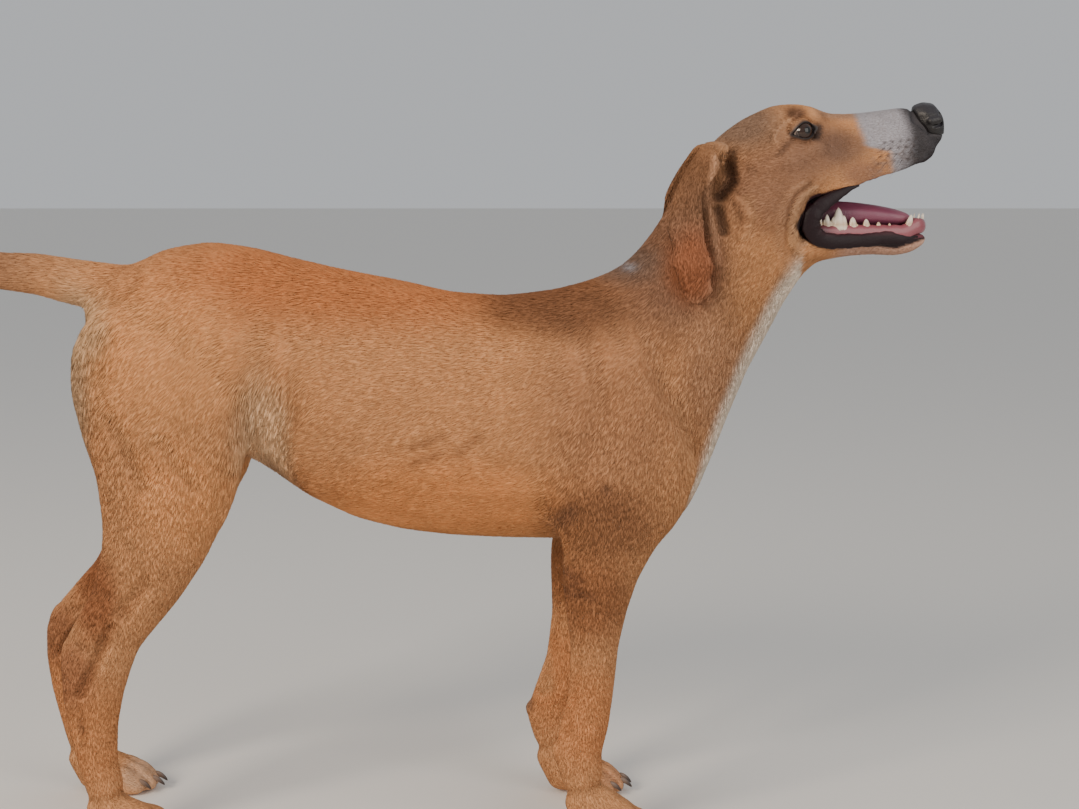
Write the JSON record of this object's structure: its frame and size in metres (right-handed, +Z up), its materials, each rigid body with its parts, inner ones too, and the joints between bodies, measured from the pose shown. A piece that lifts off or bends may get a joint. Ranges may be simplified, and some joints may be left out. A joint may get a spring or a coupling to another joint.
{
  "type": "dog",
  "caption": "Still life-size model of a young, lean, short-coated tan dog, standing with its head raised and its mouth open.",
  "frame": {"origin": "on the floor, under the middle of the bounding box", "axes": "+X towards the nose, +Y towards the dog's left side, +Z up"},
  "size_m": [0.9761, 0.1726, 0.62],
  "materials": {
    "coat": "matte",
    "pale_coat": "matte",
    "nose": "satin",
    "tongue": "satin",
    "mouth": "satin",
    "eye": "gloss",
    "teeth": "gloss",
    "claw": "satin"
  },
  "bodies": {
    "root": {"head": "coat", "nose": "nose", "lower_jaw": "pale_coat", "tongue": "tongue", "eye_R": "eye", "eye_L": "eye", "ear_R": "coat", "ear_L": "coat", "neck": "coat", "chest": "coat", "belly": "coat", "rump": "coat", "tail_base": "coat", "tail_tip": "coat", "shoulder_R": "coat", "forearm_R": "coat", "fore_paw_R": "pale_coat", "thigh_R": "coat", "shank_R": "coat", "hock_R": "coat", "hind_paw_R": "pale_coat", "shoulder_L": "coat", "forearm_L": "coat", "fore_paw_L": "pale_coat", "thigh_L": "coat", "shank_L": "coat", "hock_L": "coat", "hind_paw_L": "pale_coat"}
  },
  "joints": []
}
